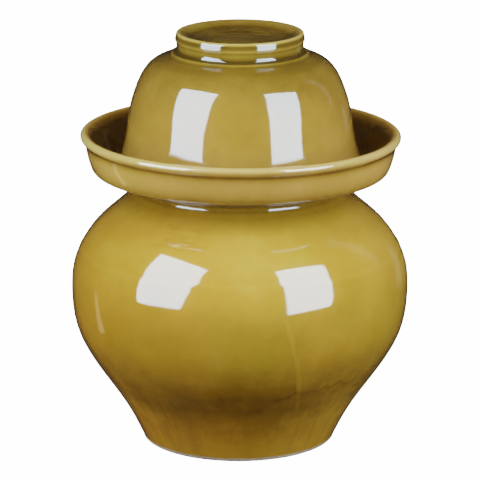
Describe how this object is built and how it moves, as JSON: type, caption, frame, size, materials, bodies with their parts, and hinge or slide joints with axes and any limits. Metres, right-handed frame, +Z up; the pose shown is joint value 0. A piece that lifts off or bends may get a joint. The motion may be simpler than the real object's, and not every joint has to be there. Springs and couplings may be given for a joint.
{
  "type": "fermentation crock",
  "caption": "Round-bellied glazed crock with a water-seal moat round its neck, a bowl-shaped outer lid standing in the moat, an inner lid and a split weight.",
  "frame": {"origin": "centre of the jar's foot, on the plane that it stands on", "axes": "+Z up along the axis that every piece is turned on, +X and +Y across it"},
  "size_m": [0.2, 0.2, 0.2461],
  "materials": {
    "amber_glaze": "glossy amber-yellow glaze over stoneware, browner where it pools, pale and unglazed under the foot",
    "bare_stoneware": "unglazed buff stoneware, matt and slightly porous"
  },
  "bodies": {
    "jar": {"jar": "amber_glaze"},
    "outer_lid": {"outer_lid": "amber_glaze"},
    "inner_lid": {"inner_lid": "amber_glaze"},
    "weight_left": {"weight_half_left": "bare_stoneware"},
    "weight_right": {"weight_half_right": "bare_stoneware"}
  },
  "joints": [
    {"name": "outer_lid_lift", "type": "slide", "parent": "jar", "child": "outer_lid", "axis": [0, 0, 1], "range_m": [0, 0.22]},
    {"name": "inner_lid_lift", "type": "slide", "parent": "jar", "child": "inner_lid", "axis": [0, 0, 1], "range_m": [0, 0.09]},
    {"name": "weight_left_lift", "type": "slide", "parent": "jar", "child": "weight_left", "axis": [0, 0, 1], "range_m": [0, 0.205]},
    {"name": "weight_right_lift", "type": "slide", "parent": "jar", "child": "weight_right", "axis": [0, 0, 1], "range_m": [0, 0.205]}
  ],
  "couplings": [
    {"joint": "inner_lid_lift", "follows": "outer_lid_lift", "ratio": 0.4},
    {"joint": "weight_left_lift", "follows": "outer_lid_lift", "ratio": 0.92},
    {"joint": "weight_right_lift", "follows": "outer_lid_lift", "ratio": 0.92}
  ]
}
